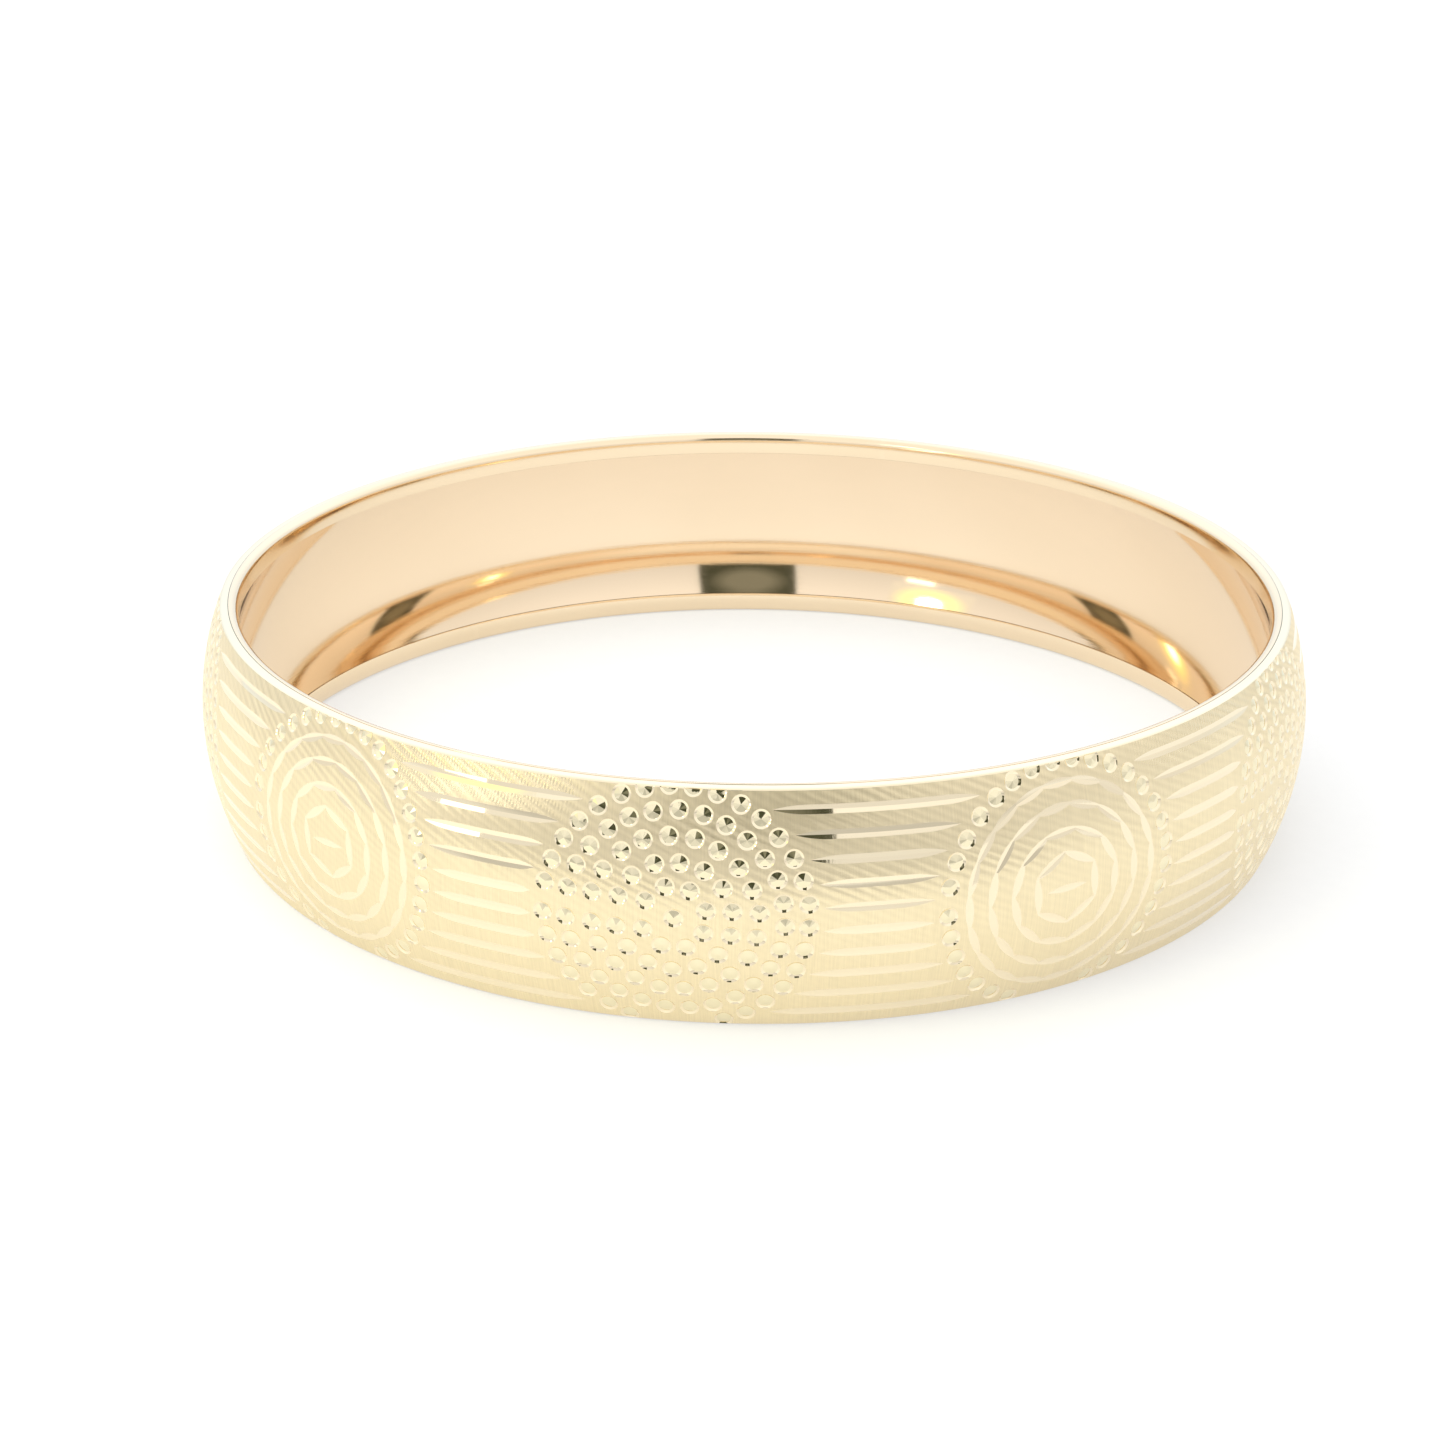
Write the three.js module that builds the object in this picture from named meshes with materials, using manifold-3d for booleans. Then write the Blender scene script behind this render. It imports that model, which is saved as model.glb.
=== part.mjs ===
// A closed slip-on bangle. A domed outer band is lined with a concave inner strip, and a lip wire runs
// along each edge of the lining. Every strip is rolled into a ring and closed by a soldered joint.
// Millimetres, +Z along the axis that the hand passes through. The origin is the centre of the face
// that the bangle lies on.
import * as THREE from "three";
import { mergeVertices } from "three/addons/utils/BufferGeometryUtils.js";
import Module from "manifold-3d";

const wasm = await Module();
wasm.setup();

// Driving dimensions
const clearRadius = 31.75; // of the opening, between the lip wires
const bandWidth = 13.7; // along Z
const edgeThickness = 1.05; // radial, from a lip's inner face to the edge of the domed face
const domeRise = 1.45; // of the crown over the edges of the domed face
const channelRise = 1.1; // of the lining's middle behind its edges
const lipWidth = 0.58; // radial
const lipHeight = 1.4; // along Z
const lipStep = 0.08; // of a lip's inner face over the edge of the lining
const lipRound = 0.5; // radius of a lip wire's corner next to the opening's end
const lipBreak = 0.11; // radius of its corner next to the lining
const liningThickness = 0.4;
const nestGap = 0.04; // solder film between two nested strips
const bandSet = 0.03; // the outer band's edges stop this far short of the lip wires' faces
const bandEdgeLand = 0.34; // flat land on the outer band's edge, next to the lip wire
const bandEdgeDrop = 0.09; // height of the bevel between that land and the domed face
const jointWidth = 0.4; // of the solder in a closed joint, around the ring
const jointGap = 0.02; // on each side of that solder

// Fineness
const segments = 96; // around the ring
const domeSteps = 8;
const channelSteps = 6;
const cornerSteps = 4;

// Derived sizes
const midHeight = bandWidth / 2;
const edgeRadius = clearRadius + edgeThickness;
const crownRadius = edgeRadius + domeRise;
const lipOuterRadius = clearRadius + lipWidth;
const liningEdgeRadius = clearRadius + lipStep;
const liningHalfHeight = midHeight - lipHeight - nestGap;
const facetAngle = (2 * Math.PI) / segments;

const gold = { color: 0xe6cd97, roughness: 0.32, metalness: 1 };
const polishedGold = { color: 0xf3dcb4, roughness: 0.08, metalness: 1 };
const solder = { color: 0xead9ae, roughness: 0.2, metalness: 1 };

// An arc in the (radius, height) plane, through two points at the same distance above and below the
// band's middle, that bulges outwards by rise. It runs from the lower point to the upper one.
function bulge(radius, halfHeight, rise, steps) {
  const arcRadius = (halfHeight ** 2 + rise ** 2) / (2 * rise);
  const centre = radius + rise - arcRadius;
  const half = Math.asin(halfHeight / arcRadius);
  const points = [];
  for (let i = 0; i <= steps; i++) {
    const angle = half * ((2 * i) / steps - 1);
    const height = midHeight + arcRadius * Math.sin(angle);
    points.push(new THREE.Vector2(centre + arcRadius * Math.cos(angle), height));
  }
  return points;
}

// The radius of such an arc at a given height.
function bulgeRadiusAt(height, radius, halfHeight, rise) {
  const arcRadius = (halfHeight ** 2 + rise ** 2) / (2 * rise);
  return radius + rise - arcRadius + Math.sqrt(arcRadius ** 2 - (height - midHeight) ** 2);
}

// Rounds a corner of an outline: points on a quarter circle about (r, z), from one angle to another.
function corner(r, z, radius, from, to) {
  const points = [];
  for (let i = 0; i <= cornerSteps; i++) {
    const angle = from + ((to - from) * i) / cornerSteps;
    points.push(new THREE.Vector2(r + radius * Math.cos(angle), z + radius * Math.sin(angle)));
  }
  return points;
}

// The upper half of an outline turned into its lower half, in reverse order.
function mirrored(points) {
  return points.map((p) => new THREE.Vector2(p.x, bandWidth - p.y)).reverse();
}

// Outer band: a domed outer face with bevelled edges, straight shoulders over the lip wires, and a
// hollowed back that the lining nests in.
function outerBandOutline() {
  const backRadius = lipOuterRadius + nestGap;
  const top = bandWidth - bandSet;
  const shoulder = bandWidth - lipHeight;
  const faceTop = top - bandEdgeDrop;
  const faceEdge = bulgeRadiusAt(faceTop, edgeRadius, midHeight, domeRise);
  const faceHalf = faceTop - midHeight;
  const face = bulge(faceEdge, faceHalf, crownRadius - faceEdge, domeSteps);
  const backEdge = liningEdgeRadius + liningThickness + nestGap;
  const back = bulge(backEdge, liningHalfHeight, channelRise, channelSteps).reverse();
  const upperEdge = [
    new THREE.Vector2(backRadius + bandEdgeLand, top),
    new THREE.Vector2(backRadius, top),
    new THREE.Vector2(backRadius, shoulder),
  ];
  return [...face, ...upperEdge, ...back, ...mirrored(upperEdge)];
}

// Inner lining: a thin strip with the same hollow on both sides.
function liningOutline() {
  const behind = bulge(liningEdgeRadius + liningThickness, liningHalfHeight, channelRise, channelSteps);
  const front = bulge(liningEdgeRadius, liningHalfHeight, channelRise, channelSteps).reverse();
  return [...behind, ...front];
}

// Upper lip wire: a low rectangle with its upper corner towards the opening well rounded and its
// lower one just broken.
function upperLipOutline() {
  const low = bandWidth - lipHeight;
  return [
    new THREE.Vector2(lipOuterRadius, low),
    new THREE.Vector2(lipOuterRadius, bandWidth),
    ...corner(clearRadius + lipRound, bandWidth - lipRound, lipRound, Math.PI / 2, Math.PI),
    ...corner(clearRadius + lipBreak, low + lipBreak, lipBreak, Math.PI, (3 * Math.PI) / 2),
  ];
}

// Turns a closed outline about Z. A facet's middle, not a corner, lies at every joint's angle.
function turned(outline) {
  const closed = [...outline, outline[0].clone()];
  const geometry = new THREE.LatheGeometry(closed, segments);
  geometry.rotateX(Math.PI / 2);
  geometry.deleteAttribute("normal");
  geometry.deleteAttribute("uv");
  return mergeVertices(geometry, 1e-4);
}

function toSolid(geometry) {
  const merged = mergeVertices(geometry, 1e-4);
  return new wasm.Manifold(
    new wasm.Mesh({
      numProp: 3,
      vertProperties: merged.attributes.position.array,
      triVerts: new Uint32Array(merged.index.array),
    }),
  );
}

function toGeometry(solid) {
  const mesh = solid.getMesh();
  const geometry = new THREE.BufferGeometry();
  geometry.setAttribute("position", new THREE.BufferAttribute(mesh.vertProperties, 3));
  geometry.setIndex(new THREE.BufferAttribute(mesh.triVerts, 1));
  geometry.computeVertexNormals();
  return geometry;
}

// A radial slab that crosses the ring's wall once, at an angle about Z from +X.
function slab(width, angle) {
  const reach = 4;
  const box = new THREE.BoxGeometry(2 * reach, width, 2 * bandWidth);
  box.deleteAttribute("normal");
  box.deleteAttribute("uv");
  box.translate(edgeRadius, 0, midHeight);
  box.rotateZ(angle);
  return toSolid(box);
}

function addMesh(group, name, geometry, look) {
  const mesh = new THREE.Mesh(geometry, new THREE.MeshStandardMaterial(look));
  mesh.name = name;
  group.add(mesh);
}

// A strip and the solder that closes it, as two solids.
function addStrip(group, name, outline, jointFacet, look) {
  const angle = (jointFacet + 0.5) * facetAngle;
  const ring = toSolid(turned(outline));
  const strip = ring.subtract(slab(jointWidth + 2 * jointGap, angle));
  const joint = ring.intersect(slab(jointWidth, angle));
  addMesh(group, name, toGeometry(strip), look);
  addMesh(group, name + "_solder_joint", toGeometry(joint), solder);
}

// The joints are staggered around the ring, so that no two of them meet.
const bangle = new THREE.Group();
bangle.name = "bangle";
addStrip(bangle, "outer_band", outerBandOutline(), 27, gold);
addStrip(bangle, "inner_lining", liningOutline(), 74, polishedGold);
addStrip(bangle, "top_lip_wire", upperLipOutline(), 19, polishedGold);
addStrip(bangle, "bottom_lip_wire", mirrored(upperLipOutline()), 34, polishedGold);

export default bangle;
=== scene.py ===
"""The engraved bangle's looks around its CAD frame. Lengths in the shape code are millimetres."""

import math
import random

import bpy
import numpy as np
from mathutils import Matrix, Vector
from mathutils.geometry import delaunay_2d_cdt


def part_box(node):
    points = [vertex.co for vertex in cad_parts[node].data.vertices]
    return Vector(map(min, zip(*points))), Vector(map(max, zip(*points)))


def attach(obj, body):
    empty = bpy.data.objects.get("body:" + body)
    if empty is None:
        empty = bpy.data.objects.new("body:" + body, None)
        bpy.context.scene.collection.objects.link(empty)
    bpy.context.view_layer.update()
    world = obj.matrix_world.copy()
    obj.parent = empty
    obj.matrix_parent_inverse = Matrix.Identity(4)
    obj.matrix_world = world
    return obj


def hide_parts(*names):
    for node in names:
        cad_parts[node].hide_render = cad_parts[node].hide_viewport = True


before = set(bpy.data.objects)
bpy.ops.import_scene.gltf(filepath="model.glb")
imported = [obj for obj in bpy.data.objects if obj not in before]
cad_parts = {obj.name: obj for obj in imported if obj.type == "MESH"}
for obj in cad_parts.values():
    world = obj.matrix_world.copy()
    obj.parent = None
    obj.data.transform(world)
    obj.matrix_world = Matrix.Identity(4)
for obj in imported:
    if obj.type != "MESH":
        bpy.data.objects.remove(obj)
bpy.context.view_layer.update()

MM = 0.001


def cad_box(node):
    """A CAD node's corners in millimetres."""
    low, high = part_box(node)
    return np.array(low) / MM, np.array(high) / MM


# Sizes that the CAD gives
HEIGHT = cad_box("top_lip_wire")[1][2]
LIP_HEIGHT = HEIGHT - cad_box("top_lip_wire")[0][2]
LIP_OUTER = cad_box("top_lip_wire")[1][0]
CROWN = cad_box("outer_band")[1][0]
BAND_TOP = cad_box("outer_band")[1][2]
LINING_LOW = cad_box("inner_lining")[0][2]
LINING_BACK = cad_box("inner_lining")[1][0]
MIDDLE = HEIGHT / 2

# The section's other sizes. LAND is the flat beside the lip wire, and the engraved face ends
# LAND_DROP below it
DOME_RISE = 1.45
LIP_WIDTH = 0.58
LIP_STEP = 0.08
LIP_ROUND = 0.5
LIP_BREAK = 0.03
LINING_THICKNESS = 0.4
NEST_GAP = 0.02
LAND = 0.29
LAND_DROP = 0.09
DOME_RADIUS = (MIDDLE**2 + DOME_RISE**2) / (2 * DOME_RISE)
DOME_CENTRE = CROWN - DOME_RADIUS
FACE_HALF = DOME_RADIUS * math.asin((BAND_TOP - LAND_DROP - MIDDLE) / DOME_RADIUS)

# Fineness: steps around the ring, and steps of the section's curves
RING_STEPS = 384
BAND_BACK_STEPS = 360
SOLDER_STEPS = 2
EDGE_STEPS = 4
HOLLOW_STEPS = 12
LINING_BACK_STEPS = 24
LINING_FRONT_STEPS = 32
LIP_ROUND_STEPS = 6
LIP_BREAK_STEPS = 2
# Faces that meet at a smaller angle, in degrees, are shaded as one
SMOOTH_ANGLE = 35
BAND_SMOOTH_ANGLE = 20

# Joints: angle about Z from +X, in degrees, and the solder's width around the ring
JOINTS = {
    "outer_band": 103.125,
    "inner_lining": 279.375,
    "top_lip_wire": 73.125,
    "bottom_lip_wire": 129.375,
}
JOINT_WIDTH = 0.4

# The engraved pattern: a tile of one disc and one medallion, five times around. DISC_ANGLE is the
# first disc's angle about Z. U runs around the ring and v up it, from the face's middle
REPEATS = 5
TILE = 2 * math.pi * CROWN / REPEATS
TILE_START = math.radians(JOINTS["outer_band"])
DISC_ANGLE = 119.3
DISC_U = math.radians(DISC_ANGLE - JOINTS["outer_band"]) * CROWN
MEDALLION_U = DISC_U + TILE / 2
# Rings of dots: radius and count. The first dot is FIRST_STEP of a step past RING_START, and the
# gap that closes a ring is longer by EXTRA_STEP. No dot is lower than LOWEST_DOT
DOT_RINGS = ((1.76, 8), (3.10, 14), (4.45, 20), (5.80, 27), (7.08, 33))
RING_START = 176.5
FIRST_STEP = 0.65
EXTRA_STEP = 0.3
DOT_JITTER = 0.04
LOWEST_DOT = -6.7
# A medallion's rings of chords: radius, count and first angle
CHORD_RINGS = ((5.93, 20, 12), (4.68, 15, 15), (3.33, 11, 15.3), (2.09, 6, 35))
CHORD_HALF_LENGTH = 1.2
CHORD_HALF_WIDTH = 0.25
CENTRE_HALF_LENGTH = 1.25
CENTRE_HALF_WIDTH = 0.21
CENTRE_TILT = 3
# The lines between two motifs stop at MOTIF_CLEAR from the motifs' centres
LINE_PITCH = 1.32
LINES = 10
MOTIF_CLEAR = 7.81
LINE_HALF_WIDTH = 0.25
LINE_TAPER = 1.9
LINE_STEP = 1.2
CUT_SLOPE = 0.11
# A dot is a low faceted cone in a round groove
CONE_RADIUS = 0.40
CONE_SLOPE = 0.2
CONE_FACETS = 12
GROOVE_RADII = (0.40, 0.47, 0.53)
GROOVE_SLOPES = (-0.50, -0.63, -0.70)
# Spacing of the ground's mesh points, and their distance from a cut
GROUND_STEP = 0.72
GROUND_CLEAR = 0.16

# Material indices on the engraved face
GROUND_LOOK, CUT_LOOK, DOT_LOOK = 0, 1, 2

random.seed(7)


class Dot:
    """A round cut. Its cone runs down from a point at the face's level, and its groove comes up."""

    reach = GROOVE_RADII[-1]

    def __init__(self, u, v):
        self.u, self.v = u, v
        self.turn = random.uniform(0, 2 * math.pi / CONE_FACETS)
        mean = (np.array(GROOVE_SLOPES)[1:] + np.array(GROOVE_SLOPES)[:-1]) / 2
        rise = np.cumsum(np.diff(GROOVE_RADII) * mean)
        self.radii = (0.0, *GROOVE_RADII)
        self.depths = CONE_RADIUS * CONE_SLOPE * np.array([0, 1, 1 + rise[0] / (-rise[-1]), 0])

    def polar(self, points):
        du, dv = points[:, 0] - self.u, points[:, 1] - self.v
        return np.hypot(du, dv), np.arctan2(dv, du)

    def near(self, points, margin):
        return self.polar(points)[0] < self.reach + margin

    def inside(self, points):
        return self.near(points, 0)

    def on_cone(self, points):
        return self.polar(points)[0] < CONE_RADIUS

    def cut(self, points):
        """Depth and its slopes along u and v. The cone's slopes are those of its facets."""
        r, a = self.polar(points)
        depth = np.interp(r, self.radii, self.depths, right=0)
        cone = r < CONE_RADIUS - 1e-6
        facet = 2 * math.pi / CONE_FACETS
        a = np.where(cone, self.turn + (np.floor((a - self.turn) / facet) + 0.5) * facet, a)
        slope = np.where(cone, CONE_SLOPE, np.interp(r, GROOVE_RADII, GROOVE_SLOPES))
        return depth, slope * np.cos(a), slope * np.sin(a)

    def outline(self):
        """Points and edges that the mesh follows."""
        sides = 2 * CONE_FACETS
        points, edges = [(self.u, self.v)], []
        for radius in GROOVE_RADII:
            first = len(points)
            for i in range(sides):
                a = self.turn + 2 * math.pi * i / sides
                points.append((self.u + radius * math.cos(a), self.v + radius * math.sin(a)))
                edges.append((first + i, first + (i + 1) % sides))
        return points, edges


class Groove:
    """A straight V cut that narrows to a point at each tapered end. Its power is the exponent of
    the taper's curve. A cut without one is all taper, like the cut of a flat tool on a dome."""

    def __init__(self, start, end, half_width, power=None, tapers=(True, True), steps=10):
        self.start, self.end = np.array(start, float), np.array(end, float)
        self.length = float(np.linalg.norm(self.end - self.start))
        self.along = (self.end - self.start) / self.length
        self.across = np.array([-self.along[1], self.along[0]])
        self.half_width, self.power, self.tapers, self.steps = half_width, power, tapers, steps

    def width(self, x):
        """Half width and its slope at a distance x from the start."""
        taper = min(LINE_TAPER, self.length / 2) if self.power else self.length / 2
        w, slope = np.ones_like(x), np.zeros_like(x)
        exponent = self.power or 2
        for used, gone, sign in ((self.tapers[0], x, 1), (self.tapers[1], self.length - x, -1)):
            if used:
                t = np.clip(1 - gone / taper, 0, 1)
                w = w - t**exponent
                slope = slope + sign * exponent * t ** (exponent - 1) / taper
        return self.half_width * np.maximum(w, 0), self.half_width * slope

    def local(self, points):
        rel = points - self.start
        return rel @ self.along, rel @ self.across

    def near(self, points, margin):
        x, y = self.local(points)
        return (x > -margin) & (x < self.length + margin) & (abs(y) < self.half_width + margin)

    def inside(self, points):
        x, y = self.local(points)
        w, _ = self.width(np.clip(x, 0, self.length))
        return (x > 0) & (x < self.length) & (abs(y) < w)

    def cut(self, points):
        """Depth and its slopes along u and v."""
        x, y = self.local(points)
        w, w_slope = self.width(np.clip(x, 0, self.length))
        depth = CUT_SLOPE * np.maximum(w - abs(y), 0)
        depth[(x < -1e-6) | (x > self.length + 1e-6)] = 0
        slope = CUT_SLOPE * (
            w_slope[:, None] * self.along - np.sign(y)[:, None] * self.across
        )
        return depth, slope[:, 0], slope[:, 1]

    def outline(self):
        """Points and edges of its two sides and its bottom, closest together at its ends."""
        ends = 0.5 - 0.5 * np.cos(np.linspace(0, math.pi, self.steps + 1))
        if self.power:
            taper = min(LINE_TAPER, self.length / 2) / self.length
            low = taper if self.tapers[0] else 0
            high = 1 - taper if self.tapers[1] else 1
            curve = np.linspace(0, 1, self.steps + 1) ** 1.5
            count = max(2, int((high - low) * self.length / LINE_STEP))
            middle = np.linspace(low, high, count + 1)
            before = low * curve if self.tapers[0] else []
            after = 1 - (1 - high) * curve[::-1] if self.tapers[1] else []
            ends = np.unique(np.round(np.concatenate([before, middle, after]), 9))
        x = ends * self.length
        w, _ = self.width(x)
        points, edges = [], []
        for side in (-1, 0, 1):
            first = len(points)
            for i, (xi, wi) in enumerate(zip(x, w)):
                points.append(tuple(self.start + self.along * xi + self.across * wi * side))
                if i:
                    edges.append((first + i - 1, first + i))
        for i, wi in enumerate(w):
            if i in (0, len(w) - 1) and wi > 1e-6:
                n = len(w)
                edges += [(i, n + i), (n + i, 2 * n + i)]
        return points, edges


def dot_ring(u, radius, count):
    """Dots punched one after another round a circle, with the leftover step on the left."""
    step = 360 / (count + EXTRA_STEP)
    start = RING_START + FIRST_STEP * step
    dots = []
    for i in range(count):
        a = math.radians(start + i * step)
        jitter = [random.uniform(-DOT_JITTER, DOT_JITTER) for _ in range(2)]
        dots.append(Dot(u + radius * math.cos(a) + jitter[0], radius * math.sin(a) + jitter[1]))
    return dots


def chord_ring(radius, count, first):
    """A medallion's flat-tool cuts, side by side round a circle."""
    cuts = []
    for i in range(count):
        a = math.radians(first + 360 * i / count)
        b = math.radians(first + 360 * (i + 1) / count)
        middle = np.array([math.cos(a) + math.cos(b), math.sin(a) + math.sin(b)]) * radius / 2
        along = np.array([math.cos(b) - math.cos(a), math.sin(b) - math.sin(a)])
        along /= np.linalg.norm(along)
        centre = np.array([MEDALLION_U, 0]) + middle
        reach = along * CHORD_HALF_LENGTH
        cuts.append(Groove(centre - reach, centre + reach, CHORD_HALF_WIDTH, steps=8))
    return cuts


def pattern():
    """Every cut of one tile."""
    cuts = [Dot(DISC_U, 0)]
    for radius, count in DOT_RINGS:
        cuts += dot_ring(DISC_U, radius, count)
    cuts += dot_ring(MEDALLION_U, *DOT_RINGS[-1])
    cuts = [dot for dot in cuts if dot.v > LOWEST_DOT]
    for ring in CHORD_RINGS:
        cuts += chord_ring(*ring)
    tilt = math.radians(CENTRE_TILT)
    reach = np.array([math.cos(tilt), math.sin(tilt)]) * CENTRE_HALF_LENGTH
    centre = np.array([MEDALLION_U, 0])
    cuts.append(Groove(centre - reach, centre + reach, CENTRE_HALF_WIDTH, steps=8))
    for i in range(LINES):
        v = (i - (LINES - 1) / 2) * LINE_PITCH
        reach = math.sqrt(MOTIF_CLEAR**2 - v**2)
        w = LINE_HALF_WIDTH
        cuts.append(Groove((DISC_U + reach, v), (MEDALLION_U - reach, v), w, 2))
        cuts.append(Groove((MEDALLION_U + reach, v), (TILE, v), w, 2, (True, False)))
        cuts.append(Groove((0, v), (DISC_U - reach, v), w, 2, (False, True)))
    return cuts


def tile_mesh(cuts):
    """One tile's flat mesh: points (u, v), faces, and each face's cut (-1 for the ground)."""
    points, edges = [], []

    def add(new_points, new_edges):
        first = len(points)
        points.extend(new_points)
        edges.extend((a + first, b + first) for a, b in new_edges)

    for cut in cuts:
        add(*cut.outline())
    rows = np.linspace(-FACE_HALF, FACE_HALF, 2 * round(FACE_HALF / GROUND_STEP) + 1)
    columns = np.linspace(0, TILE, round(TILE / GROUND_STEP) + 1)
    border = [(u, v) for v in (-FACE_HALF, FACE_HALF) for u in columns]
    n = len(columns)
    add(border, [(i + s, i + s + 1) for s in (0, n) for i in range(n - 1)])
    levels = [-FACE_HALF, FACE_HALF]
    for i in range(LINES):
        v = (i - (LINES - 1) / 2) * LINE_PITCH
        levels += [v - LINE_HALF_WIDTH, v, v + LINE_HALF_WIDTH]
    levels.sort()
    for u in (0, JOINT_WIDTH / 2, TILE - JOINT_WIDTH / 2, TILE):
        add([(u, v) for v in levels], [(i, i + 1) for i in range(len(levels) - 1)])
    grid = []
    for j, v in enumerate(rows[1:-1]):
        for u in columns[1:-1] + (GROUND_STEP / 2 if j % 2 else 0):
            if u < TILE - GROUND_STEP:
                grid.append((u, v))
    grid = np.array(grid)
    for cut in cuts:
        grid = grid[~cut.near(grid, GROUND_CLEAR)]
    add([tuple(p) for p in grid], [])
    made = delaunay_2d_cdt([Vector(p) for p in points], edges, [], 0, 1e-5)
    flat = np.array([tuple(p) for p in made[0]])
    faces = np.array([f for f in made[2] if len(f) == 3])
    centres = flat[faces].mean(1)
    e = 1e-4
    keep = (abs(centres[:, 1]) < FACE_HALF - e) & (centres[:, 0] > e) & (centres[:, 0] < TILE - e)
    faces, centres = faces[keep], centres[keep]
    sides = flat[faces]
    d1, d2 = sides[:, 1] - sides[:, 0], sides[:, 2] - sides[:, 0]
    turned = d1[:, 0] * d2[:, 1] - d1[:, 1] * d2[:, 0]
    faces[turned < 0] = faces[turned < 0][:, ::-1]
    faces, centres = faces[abs(turned) > 1e-9], centres[abs(turned) > 1e-9]
    best = np.full(len(faces), 1e-7)
    owner = np.full(len(faces), -1)
    for i, cut in enumerate(cuts):
        close = np.nonzero(cut.near(centres, 0))[0]
        depth = cut.cut(centres[close])[0]
        depth[~cut.inside(centres[close])] = 0
        win = close[depth > best[close]]
        best[win] = depth[depth > best[close]]
        owner[win] = i
    return flat, faces, owner


def dome(u, v):
    """Place, outward normal and the two unit tangents of the plain face."""
    a, t = TILE_START + u / CROWN, v / DOME_RADIUS
    radius = DOME_CENTRE + DOME_RADIUS * np.cos(t)
    place = np.stack([radius * np.cos(a), radius * np.sin(a), MIDDLE + DOME_RADIUS * np.sin(t)], -1)
    normal = np.stack([np.cos(t) * np.cos(a), np.cos(t) * np.sin(a), np.sin(t)], -1)
    along = np.stack([-np.sin(a), np.cos(a), np.zeros_like(a)], -1)
    across = np.stack([-np.sin(t) * np.cos(a), -np.sin(t) * np.sin(a), np.cos(t)], -1)
    return place, normal, along, across


def engraved_face():
    """The five tiles in space, with each face's corner normals and look, and the solder's faces."""
    cuts = pattern()
    flat, faces, owner = tile_mesh(cuts)
    depth = np.zeros(len(flat))
    for cut in cuts:
        close = np.nonzero(cut.near(flat, 0.01))[0]
        depth[close] = np.maximum(depth[close], cut.cut(flat[close])[0])
    centres = flat[faces].mean(1)
    corners = flat[faces]
    probe = corners + 0.02 * (centres[:, None] - corners)
    slope_u, slope_v = np.zeros(faces.shape), np.zeros(faces.shape)
    for i, cut in enumerate(cuts):
        mine = np.nonzero(owner == i)[0]
        if len(mine):
            _, du, dv = cut.cut(probe[mine].reshape(-1, 2))
            slope_u[mine], slope_v[mine] = du.reshape(-1, 3), dv.reshape(-1, 3)
    places, all_faces, normals = [], [], []
    for k in range(REPEATS):
        place, normal, _, _ = dome(flat[:, 0] + k * TILE, flat[:, 1])
        places.append(place - depth[:, None] * normal)
        all_faces.append(faces + k * len(flat))
        _, normal, along, across = dome(corners[..., 0] + k * TILE, corners[..., 1])
        n = normal + slope_u[..., None] * along + slope_v[..., None] * across
        normals.append(n / np.linalg.norm(n, axis=-1, keepdims=True))
    look = np.where(owner >= 0, CUT_LOOK, GROUND_LOOK)
    for i, cut in enumerate(cuts):
        if isinstance(cut, Dot):
            mine = np.nonzero(owner == i)[0]
            look[mine[cut.on_cone(centres[mine])]] = DOT_LOOK
    solder = [np.zeros(len(faces), bool) for _ in range(REPEATS)]
    solder[0] = centres[:, 0] < JOINT_WIDTH / 2
    solder[-1] = centres[:, 0] > TILE - JOINT_WIDTH / 2
    u = np.concatenate([flat[:, 0] + k * TILE for k in range(REPEATS)])
    return {
        "places": np.concatenate(places),
        "faces": np.concatenate(all_faces),
        "normals": np.concatenate(normals),
        "look": np.tile(look, REPEATS),
        "solder": np.concatenate(solder),
        "u": u,
        "v": np.tile(flat[:, 1], REPEATS),
    }


def arc(radius, half_height, rise, steps):
    """An arc of the section that bulges outwards, from low to high."""
    arc_radius = (half_height**2 + rise**2) / (2 * rise)
    half = math.asin(half_height / arc_radius)
    centre = radius + rise - arc_radius
    angles = [half * (2 * i / steps - 1) for i in range(steps + 1)]
    return [(centre + arc_radius * math.cos(a), MIDDLE + arc_radius * math.sin(a)) for a in angles]


def corner(r, z, radius, start, end, steps):
    """Points of a rounded corner, with angles in quarter turns."""
    angles = [math.pi / 2 * (start + (end - start) * i / steps) for i in range(steps + 1)]
    return [(r + radius * math.cos(a), z + radius * math.sin(a)) for a in angles]


def mirrored(points):
    """The upper edge's points as the lower edge's, in reverse order."""
    return [(r, HEIGHT - z) for r, z in reversed(points)]


def smooth_by_angle(mesh, angle):
    mesh.shade_smooth()
    mesh.set_sharp_from_angle(angle=math.radians(angle))


def build(name, places, faces):
    mesh = bpy.data.meshes.new(name)
    mesh.from_pydata([tuple(p) for p in np.array(places) * MM], [], faces)
    mesh.validate()
    smooth_by_angle(mesh, SMOOTH_ANGLE)
    piece = bpy.data.objects.new(name, mesh)
    bpy.context.scene.collection.objects.link(piece)
    return piece


def swept(name, outline, start, end, steps):
    """A closed outline, counter-clockwise in (radius, height), swept about Z between two angles."""
    n = len(outline)
    places, faces = [], []
    for i in range(steps + 1):
        a = start + (end - start) * i / steps
        places += [(r * math.cos(a), r * math.sin(a), z) for r, z in outline]
    for i in range(steps):
        for j in range(n):
            k = (j + 1) % n
            faces.append((i * n + j, (i + 1) * n + j, (i + 1) * n + k, i * n + k))
    faces.append(tuple(range(n)))
    faces.append(tuple(reversed(range(steps * n, (steps + 1) * n))))
    return build(name, places, faces)


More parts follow.
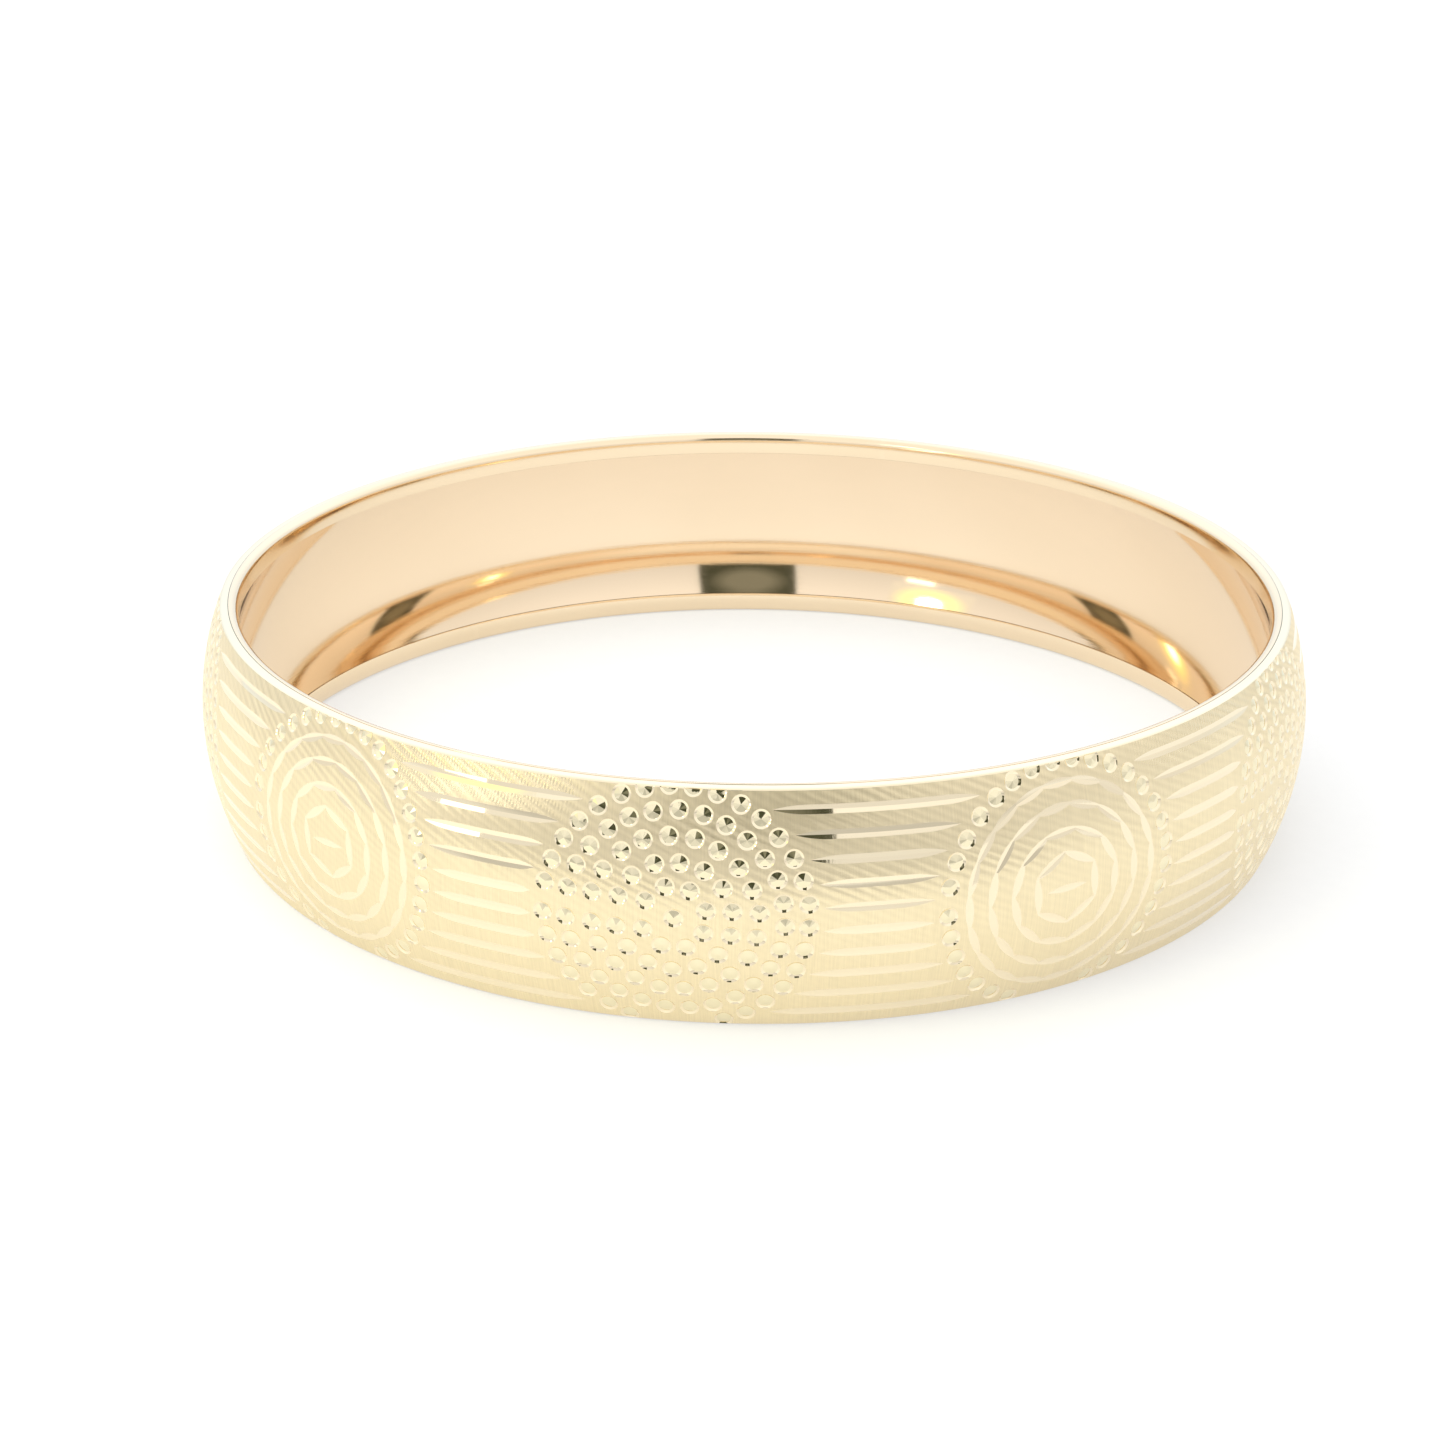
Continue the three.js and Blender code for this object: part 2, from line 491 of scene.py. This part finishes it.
def strip_with_solder(node, name, outline):
    """A ring of an outline, cut by its soldered joint."""
    middle = math.radians(JOINTS[node])
    half = JOINT_WIDTH / 2 / max(r for r, _ in outline)
    strip = swept(name, outline, middle + half, middle + 2 * math.pi - half, RING_STEPS)
    bead = swept(name + "_solder", outline, middle - half, middle + half, SOLDER_STEPS)
    return strip, bead


def zipped(row, next_row, u):
    """Triangles between two rows of points that run along the same stretch of the ring."""
    faces, i, j = [], 0, 0
    while i < len(row) - 1 or j < len(next_row) - 1:
        done = j == len(next_row) - 1
        if done or (i < len(row) - 1 and u[row[i + 1]] <= u[next_row[j + 1]]):
            faces.append((row[i], row[i + 1], next_row[j]))
            i += 1
        else:
            faces.append((row[i], next_row[j + 1], next_row[j]))
            j += 1
    return faces


def edge_arc(land_radius):
    """The band's rounded upper edge, after the face's last row: (radius, height) up to its land."""
    tilt = FACE_HALF / DOME_RADIUS
    start_r = DOME_CENTRE + DOME_RADIUS * math.cos(tilt)
    start_z = MIDDLE + DOME_RADIUS * math.sin(tilt)
    points = []
    for i in range(1, EDGE_STEPS + 1):
        a = tilt + (math.pi / 2 - tilt) * i / EDGE_STEPS
        along_r = (math.cos(tilt) - math.cos(a)) / math.cos(tilt)
        along_z = (math.sin(a) - math.sin(tilt)) / (1 - math.sin(tilt))
        r = start_r + (land_radius - start_r) * along_r
        z = start_z + (BAND_TOP - start_z) * along_z
        points.append((r, z))
    return points


def band_part(name, face, keep, steps):
    """The kept part of the engraved face, closed by its round edges, lands, back and two ends."""
    used, renumbered = np.unique(face["faces"][keep], return_inverse=True)
    u, v = face["u"][used], face["v"][used]
    if u.max() - u.min() > (REPEATS - 0.001) * TILE:
        u = np.where(u > REPEATS * TILE / 2, u - REPEATS * TILE, u)
    _, first, merged = np.unique(
        np.round(face["places"][used], 5), axis=0, return_index=True, return_inverse=True
    )
    places, u, v = list(face["places"][used][first]), list(u[first]), list(v[first])
    faces = [tuple(map(int, f)) for f in merged.ravel()[renumbered.reshape(-1, 3)]]
    engraved = len(faces)
    low_u, high_u = min(u), max(u)
    edge = 1e-4

    def row(pick, key):
        return sorted((i for i in range(len(v)) if pick(i)), key=lambda i: key[i])

    top = row(lambda i: v[i] > FACE_HALF - edge, u)
    bottom = row(lambda i: v[i] < edge - FACE_HALF, u)
    start = row(lambda i: u[i] < low_u + edge, v)
    end = row(lambda i: u[i] > high_u - edge, v)

    def ring(us, r, z):
        index = []
        for x in us:
            a = TILE_START + x / CROWN
            index.append(len(places))
            places.append(np.array([r * math.cos(a), r * math.sin(a), z]))
            u.append(x)
        return index

    back = LIP_OUTER + NEST_GAP
    hollow_edge = LIP_OUTER - LIP_WIDTH + LIP_STEP + LINING_THICKNESS + NEST_GAP
    hollow_rise = LINING_BACK + NEST_GAP - hollow_edge
    hollow = list(reversed(arc(hollow_edge, MIDDLE - LINING_LOW, hollow_rise, HOLLOW_STEPS)))
    upper = [(back, BAND_TOP), (back, HEIGHT - LIP_HEIGHT)]
    spaced = np.linspace(low_u, high_u, steps + 1)
    rounded = edge_arc(back + LAND)
    rows = [top] + [ring([u[i] for i in top], r, z) for r, z in rounded]
    rows += [ring(spaced, r, z) for r, z in upper + hollow + mirrored(upper)]
    rows += [ring([u[i] for i in bottom], r, z) for r, z in mirrored(rounded)] + [bottom]
    for one, other in zip(rows, rows[1:]):
        if len(one) == len(other):
            faces += [(*one[i : i + 2], other[i + 1], other[i]) for i in range(len(one) - 1)]
        else:
            faces += zipped(one, other, u)
    faces.append(tuple(start + [r[0] for r in rows[1:-1]]))
    faces.append(tuple(reversed(end + [r[-1] for r in rows[1:-1]])))
    mesh = bpy.data.meshes.new(name)
    mesh.from_pydata([tuple(p * MM) for p in places], [], faces)
    smooth_by_angle(mesh, BAND_SMOOTH_ANGLE)
    normals = np.zeros((len(mesh.loops), 3))
    normals[: 3 * engraved] = face["normals"][keep].reshape(-1, 3)
    mesh.normals_split_custom_set([tuple(x) for x in normals])
    piece = bpy.data.objects.new(name, mesh)
    bpy.context.scene.collection.objects.link(piece)
    look = np.full(len(mesh.polygons), CUT_LOOK, np.int32)
    look[:engraved] = face["look"][keep]
    return piece, look


# ---------------------------------------------------------------- materials


def map_range(tree, value, low, high, out_low=0.0, out_high=1.0):
    """A straight ramp of a value, level beyond both ends."""
    node = tree.nodes.new("ShaderNodeMapRange")
    keys = ("From Min", "From Max", "To Min", "To Max")
    for key, number in zip(keys, (low, high, out_low, out_high)):
        node.inputs[key].default_value = number
    tree.links.new(value, node.inputs["Value"])
    return node.outputs["Result"]


class Nodes:
    """Short calls for a material's node tree."""

    def __init__(self, name):
        self.material = bpy.data.materials.new(name)
        self.material.use_nodes = True
        self.tree = self.material.node_tree
        self.shader = self.tree.nodes["Principled BSDF"]
        self.shader.inputs["Metallic"].default_value = 1.0

    def add(self, kind, **settings):
        node = self.tree.nodes.new(kind)
        for key, value in settings.items():
            setattr(node, key, value)
        return node

    def put(self, socket, value):
        if hasattr(value, "is_linked"):
            self.tree.links.new(value, socket)
        else:
            socket.default_value = value

    def math(self, operation, a, b=0.0):
        node = self.add("ShaderNodeMath", operation=operation)
        self.put(node.inputs[0], a)
        self.put(node.inputs[1], b)
        return node.outputs[0]

    def times(self, a, b):
        return self.math("MULTIPLY", a, b)

    def plus(self, a, b):
        return self.math("ADD", a, b)

    def minus(self, a, b):
        return self.math("SUBTRACT", a, b)

    def noise(self, vector, scale=1.0, detail=2.0):
        node = self.add("ShaderNodeTexNoise")
        self.put(node.inputs["Vector"], vector)
        node.inputs["Scale"].default_value = scale
        node.inputs["Detail"].default_value = detail
        node.inputs["Roughness"].default_value = 0.5
        return node.outputs["Fac"]

    def band(self, value, low, high, out_low=0.0, out_high=1.0):
        return map_range(self.tree, value, low, high, out_low, out_high)

    def mix(self, factor, a, b):
        node = self.add("ShaderNodeMix", data_type="RGBA")
        self.put(node.inputs["Factor"], factor)
        node.inputs["A"].default_value = (*a, 1)
        node.inputs["B"].default_value = (*b, 1)
        return node.outputs["Result"]

    def bump(self, height, distance, strength=1.0, normal=None):
        """A normal for a relief. One unit of its height is the distance, in metres."""
        node = self.add("ShaderNodeBump")
        self.put(node.inputs["Height"], height)
        node.inputs["Distance"].default_value = distance
        node.inputs["Strength"].default_value = strength
        if normal is not None:
            self.put(node.inputs["Normal"], normal)
        return node.outputs["Normal"]

    def unrolled(self):
        """Millimetres around the ring, and up it."""
        coords = self.add("ShaderNodeTexCoord")
        split = self.add("ShaderNodeSeparateXYZ")
        self.put(split.inputs[0], coords.outputs["Object"])
        x, y, z = split.outputs
        around = self.times(self.math("ARCTAN2", y, x), CROWN)
        return around, self.times(z, 1 / MM), coords.outputs["Object"]

    def point(self, x, y, z=0.0):
        node = self.add("ShaderNodeCombineXYZ")
        for socket, value in zip(node.inputs, (x, y, z)):
            self.put(socket, value)
        return node.outputs[0]


# Satin ground, in millimetres: fine strokes, slanted tool marks, and a rope-like twist in the marks
# near the top edge, beside each dotted disc. A ramp is (from, to) or (from, to, least, most)
STROKES_AROUND, STROKES_UP = 11.0, 0.4
SLANT_AROUND, SLANT_UP = 0.42, 0.91
DRIFT_ACROSS, DRIFT_ALONG = 0.5, 0.12
MARK_PHASE, DRIFT_PHASE = 14.0, 9.0
MARKS_RAMP = (4.0, 12.0, 0.12, 1.0)
TWIST_PHASE, TWIST_LAG = 30.0, 0.7
TWIST_RAMP = (10.8, 12.4)
TWIST_ANGLE = -116
TWIST_SPREAD_RAMP = (0.4, 0.85)
SATIN_LIGHT, SATIN_DARK = (0.93, 0.80, 0.54), (0.77, 0.66, 0.44)
SATIN_ROUGH = (0.30, 0.37)


def satin_gold():
    """Brushed ground with slanted rope-like tool marks that fade downwards."""
    n = Nodes("satin_gold_ground")
    around, up, place = n.unrolled()
    strokes = n.noise(n.point(n.times(around, STROKES_AROUND), n.times(up, STROKES_UP)))
    slant = n.plus(n.times(around, SLANT_AROUND), n.times(up, SLANT_UP))
    along = n.minus(n.times(around, SLANT_UP), n.times(up, SLANT_AROUND))
    drift = n.noise(n.point(n.times(slant, DRIFT_ACROSS), n.times(along, DRIFT_ALONG)))
    phase = n.plus(n.times(slant, MARK_PHASE), n.times(drift, DRIFT_PHASE))
    rope = n.band(n.math("SINE", phase), -1.0, 1.0)
    patch = n.band(n.noise(place, 120.0), 0.35, 0.65, 0.3, 1.0)
    marks = n.times(rope, n.times(n.band(up, *MARKS_RAMP), patch))

    twist = n.math("SINE", n.plus(n.times(along, TWIST_PHASE), n.times(phase, TWIST_LAG)))
    turned = n.plus(n.times(around, REPEATS / CROWN), math.radians(-REPEATS * TWIST_ANGLE))
    beside_disc = n.band(n.math("COSINE", turned), *TWIST_SPREAD_RAMP)
    near_edge = n.times(n.band(up, *TWIST_RAMP), beside_disc)
    braid = n.times(n.times(twist, rope), near_edge)

    fine = n.bump(strokes, 0.000012, 0.8)
    relief = n.plus(marks, n.times(braid, 0.3))
    n.put(n.shader.inputs["Normal"], n.bump(relief, 0.000022, 0.8, fine))
    tint = n.plus(n.times(marks, 0.6), n.band(strokes, 0.3, 0.7, 0.0, 0.45))
    n.put(n.shader.inputs["Base Color"], n.mix(tint, SATIN_LIGHT, SATIN_DARK))
    rough = n.minus(n.band(drift, 0.35, 0.65, *SATIN_ROUGH), n.times(near_edge, 0.08))
    n.put(n.shader.inputs["Roughness"], rough)
    n.shader.inputs["Anisotropic"].default_value = 0.8
    tangent = n.add("ShaderNodeTangent", direction_type="RADIAL")
    n.put(n.shader.inputs["Tangent"], tangent.outputs[0])
    return n.material


def bright_cut(name, low, high):
    """Facets left by a polished cutter, with faint chatter across them."""
    n = Nodes(name)
    around, up, place = n.unrolled()
    chatter = n.noise(n.point(n.times(around, 6.0), up), detail=1.0)
    tone = n.noise(place, 220.0)
    n.put(n.shader.inputs["Normal"], n.bump(chatter, 0.000002, 0.5))
    n.put(n.shader.inputs["Base Color"], n.mix(tone, low, high))
    n.put(n.shader.inputs["Roughness"], n.band(tone, 0.3, 0.7, 0.03, 0.06))
    return n.material


def polished_gold(name, low, high, rough):
    """Mirror polish with hairline scratches around the ring and slight waviness."""
    n = Nodes(name)
    around, up, place = n.unrolled()
    hair = n.noise(n.point(n.times(around, 0.25), n.times(up, 14.0)))
    waves = n.noise(place, 90.0, 1.0)
    fine = n.bump(hair, 0.0000015, 0.5)
    n.put(n.shader.inputs["Normal"], n.bump(waves, 0.000012, 0.5, fine))
    n.put(n.shader.inputs["Base Color"], n.mix(n.band(waves, 0.3, 0.7), low, high))
    n.put(n.shader.inputs["Roughness"], n.band(hair, 0.3, 0.7, rough, rough + 0.03))
    return n.material


def floor_paper():
    """Pale paper lit from below as well, so that shadows on it stay faint."""
    n = Nodes("floor_paper")
    n.shader.inputs["Metallic"].default_value = 0.0
    coords = n.add("ShaderNodeTexCoord")
    grain = n.noise(coords.outputs["Object"], 900.0)
    n.put(n.shader.inputs["Base Color"], n.mix(grain, (0.39, 0.39, 0.39), (0.41, 0.41, 0.41)))
    n.shader.inputs["Roughness"].default_value = 0.9
    n.shader.inputs["Specular IOR Level"].default_value = 0.0
    n.shader.inputs["Emission Color"].default_value = (1, 1, 1, 1)
    n.shader.inputs["Emission Strength"].default_value = 0.5
    return n.material


def glow(name, centre, rings):
    """An emission that changes with the distance from a centre: (millimetres, colour) rings."""
    material = bpy.data.materials.new(name)
    material.use_nodes = True
    tree = material.node_tree
    tree.nodes.remove(tree.nodes["Principled BSDF"])
    light = tree.nodes.new("ShaderNodeEmission")
    coords = tree.nodes.new("ShaderNodeTexCoord")
    distance = tree.nodes.new("ShaderNodeVectorMath")
    distance.operation = "DISTANCE"
    distance.inputs[1].default_value = tuple(centre * MM)
    tree.links.new(coords.outputs["Object"], distance.inputs[0])
    colour = None
    for (near, inner), (far, outer) in zip(rings, rings[1:]):
        blend = map_range(tree, distance.outputs["Value"], near * MM, far * MM)
        mix = tree.nodes.new("ShaderNodeMix")
        mix.data_type = "RGBA"
        mix.inputs["A"].default_value = (*inner, 1)
        mix.inputs["B"].default_value = (*outer, 1)
        if colour is not None:
            tree.links.new(colour, mix.inputs["A"])
        tree.links.new(blend, mix.inputs["Factor"])
        colour = mix.outputs["Result"]
    tree.links.new(colour, light.inputs["Color"])
    tree.links.new(light.outputs[0], tree.nodes["Material Output"].inputs["Surface"])
    return material


SATIN = satin_gold()
CUT = bright_cut("bright_cut_gold", (0.91, 0.79, 0.57), (0.94, 0.83, 0.62))
DOT = bright_cut("punched_dot_gold", (0.85, 0.77, 0.54), (0.89, 0.80, 0.57))
LINING = polished_gold("polished_gold_lining", (0.885, 0.71, 0.51), (0.905, 0.73, 0.53), 0.05)
LIP = polished_gold("polished_gold_lip", (0.89, 0.73, 0.52), (0.91, 0.75, 0.54), 0.11)
SOLDER = polished_gold("gold_solder_joint", (0.90, 0.74, 0.53), (0.92, 0.77, 0.56), 0.13)


def place_piece(piece, node, slot, *materials):
    for material in materials:
        piece.data.materials.append(material)
    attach(piece, "root")
    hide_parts(node)


# ---------------------------------------------------------------- the eight pieces

# The outer band and its solder
face = engraved_face()
solder = face["solder"]
band_solder = ("engraved_outer_band_solder", "outer_band_solder_joint", "gold_solder")
for name, node, slot, keep, steps in (
    ("engraved_outer_band", "outer_band", "satin_gold", ~solder, BAND_BACK_STEPS),
    (*band_solder, solder, SOLDER_STEPS),
):
    piece, look = band_part(name, face, keep, steps)
    place_piece(piece, node, slot, SATIN, CUT, DOT)
    piece.data.polygons.foreach_set("material_index", look)

# The lining and its solder
lining_edge = LIP_OUTER - LIP_WIDTH + LIP_STEP
lining_rise = LINING_BACK - LINING_THICKNESS - lining_edge
lining_half = MIDDLE - LINING_LOW + NEST_GAP
lining_behind = lining_edge + LINING_THICKNESS
lining_outline = arc(lining_behind, lining_half, lining_rise, LINING_BACK_STEPS)
lining_outline += reversed(arc(lining_edge, lining_half, lining_rise, LINING_FRONT_STEPS))
strip, bead = strip_with_solder("inner_lining", "polished_inner_lining", lining_outline)
place_piece(strip, "inner_lining", "polished_gold", LINING)
place_piece(bead, "inner_lining_solder_joint", "gold_solder", LINING)

# The two lip wires and their solder. The corner towards the lining is only broken
lip_inner = LIP_OUTER - LIP_WIDTH
lip_low = HEIGHT - LIP_HEIGHT
upper_lip = [
    (LIP_OUTER, lip_low),
    *corner(LIP_OUTER - LIP_BREAK, HEIGHT - LIP_BREAK, LIP_BREAK, 0, 1, LIP_BREAK_STEPS),
    *corner(lip_inner + LIP_ROUND, HEIGHT - LIP_ROUND, LIP_ROUND, 1, 2, LIP_ROUND_STEPS),
    *corner(lip_inner + LIP_BREAK, lip_low + LIP_BREAK, LIP_BREAK, 2, 3, LIP_BREAK_STEPS),
]
for node, name, outline in (
    ("top_lip_wire", "upper_lip_wire", upper_lip),
    ("bottom_lip_wire", "lower_lip_wire", mirrored(upper_lip)),
):
    strip, bead = strip_with_solder(node, name, outline)
    place_piece(strip, node, "polished_gold", LIP)
    place_piece(bead, node + "_solder_joint", "gold_solder", SOLDER)

# ---------------------------------------------------------------- floor, lights, camera


def rectangle(middle, side, upright):
    """Four corners, from the middle and half of each side."""
    return [middle + side * s + upright * t for s, t in ((-1, -1), (1, -1), (1, 1), (-1, 1))]


def card(name, corners, material, camera=False, shadow=False):
    """A flat four-sided stage piece. Without shadow it is a glow that only mirrors show."""
    mesh = bpy.data.meshes.new(name)
    mesh.from_pydata([tuple(Vector(c) * MM) for c in corners], [], [tuple(range(len(corners)))])
    mesh.materials.append(material)
    made = bpy.data.objects.new(name, mesh)
    bpy.context.scene.collection.objects.link(made)
    made.visible_camera = camera
    made.visible_shadow = shadow
    made.visible_diffuse = shadow


def toward(azimuth, elevation, distance):
    """A place seen from the bangle's middle: azimuth from the front to the right, in degrees."""
    a, e = math.radians(azimuth), math.radians(elevation)
    return Vector((math.sin(a) * math.cos(e), -math.cos(a) * math.cos(e), math.sin(e))) * distance


FLOOR_HALF = 4000.0
floor_corners = rectangle(Vector(), Vector((FLOOR_HALF, 0, 0)), Vector((0, FLOOR_HALF, 0)))
card("floor", floor_corners, floor_paper(), camera=True, shadow=True)

CAMERA_DISTANCE = 174.0
CAMERA_ELEVATION = 23.41
CAMERA_PITCH = -1.192
CAMERA_YAW = -0.691
CAMERA_ROLL = 0.331
CAMERA_LENS = 67.49
SENSOR_WIDTH = 36

camera_place = toward(0, CAMERA_ELEVATION, CAMERA_DISTANCE)
tilt = math.radians(CAMERA_ELEVATION + CAMERA_PITCH)
turn = math.radians(CAMERA_YAW)
roll = math.radians(CAMERA_ROLL)
aim = Vector((math.sin(turn) * math.cos(tilt), math.cos(turn) * math.cos(tilt), -math.sin(tilt)))
level = aim.cross(Vector((0, 0, 1))).normalized()
upright = level.cross(aim)
right = level * math.cos(roll) + upright * math.sin(roll)
above = upright * math.cos(roll) - level * math.sin(roll)
camera_data = bpy.data.cameras.new("camera")
camera_data.lens = CAMERA_LENS
camera_data.sensor_width = SENSOR_WIDTH
camera_data.clip_start = 0.01
camera_data.clip_end = 20
camera = bpy.data.objects.new("camera", camera_data)
bpy.context.scene.collection.objects.link(camera)
camera_axes = Matrix((right, above, -aim)).transposed().to_4x4()
camera.matrix_world = Matrix.Translation(camera_place * MM) @ camera_axes
bpy.context.scene.camera = camera

# The dark back of the photographer's camera, which the bright cuts and the lining mirror
CAMERA_BACK = ((-33, -46), (45, -46), (36, 75), (-30, 75))
BACK_BEFORE_CAMERA = 2
BACK_RIGHT = 4
DARK_RINGS = ((16, (0.28, 0.28, 0.22)), (32, (0.08, 0.085, 0.055)))
back_place = camera_place - aim * BACK_BEFORE_CAMERA
back_corners = [back_place + right * x + above * z for x, z in CAMERA_BACK]
card("camera_card", back_corners, glow("dark_camera", back_place + right * BACK_RIGHT, DARK_RINGS))

# Painted shade: a glowing grey sheet for the shadowed floor in front, which the upper flanks of the
# cuts mirror
SHADE_MIDDLE = Vector((0, -480, 0.3))
SHADE_HALF = 420
SHADE_RINGS = ((382, (0.66, 0.66, 0.65)), (410, (0.93, 0.93, 0.92)))
shade_corners = rectangle(SHADE_MIDDLE, Vector((SHADE_HALF, 0, 0)), Vector((0, SHADE_HALF, 0)))
card("front_shade_card", shade_corners, glow("front_shade", SHADE_MIDDLE, SHADE_RINGS))


def lamp_card(name, x, y, height, half_width, half_height, rings):
    """An upright lamp at (x, y) that faces the bangle's axis, with rings about its middle."""
    middle = Vector((x, y, height))
    side = Vector((-y, x, 0)).normalized() * half_width
    card(name, rectangle(middle, side, Vector((0, 0, half_height))), glow(name, middle, rings))


def even(colour):
    """The rings of a lamp with the same brightness all over."""
    return ((0, colour), (1, colour))


# Three bright lamps at the left
LAMP_RINGS = ((7, (5.0, 5.0, 4.6)), (8, (1.9, 1.8, 0.8)), (23, (1.05, 1.05, 1.0)))
lamp_card("lamp_card", -87, -74, 58, 24, 22, LAMP_RINGS)
lamp_card("low_lamp_card", -65.3, -61.5, 21.2, 6.2, 7.4, even((2.6, 2.5, 2.2)))
lamp_card("high_lamp_card", -72, -72, 104, 9, 9, even((4.0, 4.0, 3.8)))

# Soft surroundings: brighter above than at the horizon, and cooler behind than in front
WARM_FRONT, COOL_BACK = (1.0, 0.995, 0.985, 1), (1.08, 1.18, 1.30, 1)
COOL_RAMP = (0.1, 0.6)
SKY_RAMP = (0.15, 0.45, 0.9, 1.15)
world = bpy.data.worlds.new("studio")
bpy.context.scene.world = world
world.use_nodes = True
sky_tree = world.node_tree
sky = sky_tree.nodes["Background"]
direction = sky_tree.nodes.new("ShaderNodeSeparateXYZ")
sky_coords = sky_tree.nodes.new("ShaderNodeTexCoord")
sky_tree.links.new(sky_coords.outputs["Generated"], direction.inputs[0])
sky_colour = sky_tree.nodes.new("ShaderNodeMix")
sky_colour.data_type = "RGBA"
sky_colour.inputs["A"].default_value = WARM_FRONT
sky_colour.inputs["B"].default_value = COOL_BACK
cool = map_range(sky_tree, direction.outputs["Y"], *COOL_RAMP)
sky_tree.links.new(cool, sky_colour.inputs["Factor"])
sky_tree.links.new(sky_colour.outputs["Result"], sky.inputs["Color"])
strength = map_range(sky_tree, direction.outputs["Z"], *SKY_RAMP)
sky_tree.links.new(strength, sky.inputs["Strength"])


def area_light(name, size, power, colour, place):
    """A square lamp in metres and watts, which mirrors don't show."""
    data = bpy.data.lights.new(name, "AREA")
    data.size = size
    data.energy = power
    data.color = colour
    light = bpy.data.objects.new(name, data)
    light.location = place
    light.visible_glossy = False
    bpy.context.scene.collection.objects.link(light)
    return light


overhead = area_light("overhead_softbox", 1.2, 6.0, (1, 1, 1), (-0.35, 0.1, 1.1))
overhead.rotation_euler = (-overhead.location).to_track_quat("-Z", "Y").to_euler()
# The lamps' warm pool on the floor
area_light("warm_pool", 0.06, 0.085, (1.0, 0.94, 0.4), (-0.075, -0.075, 0.12))

bpy.context.scene.view_settings.view_transform = "Standard"
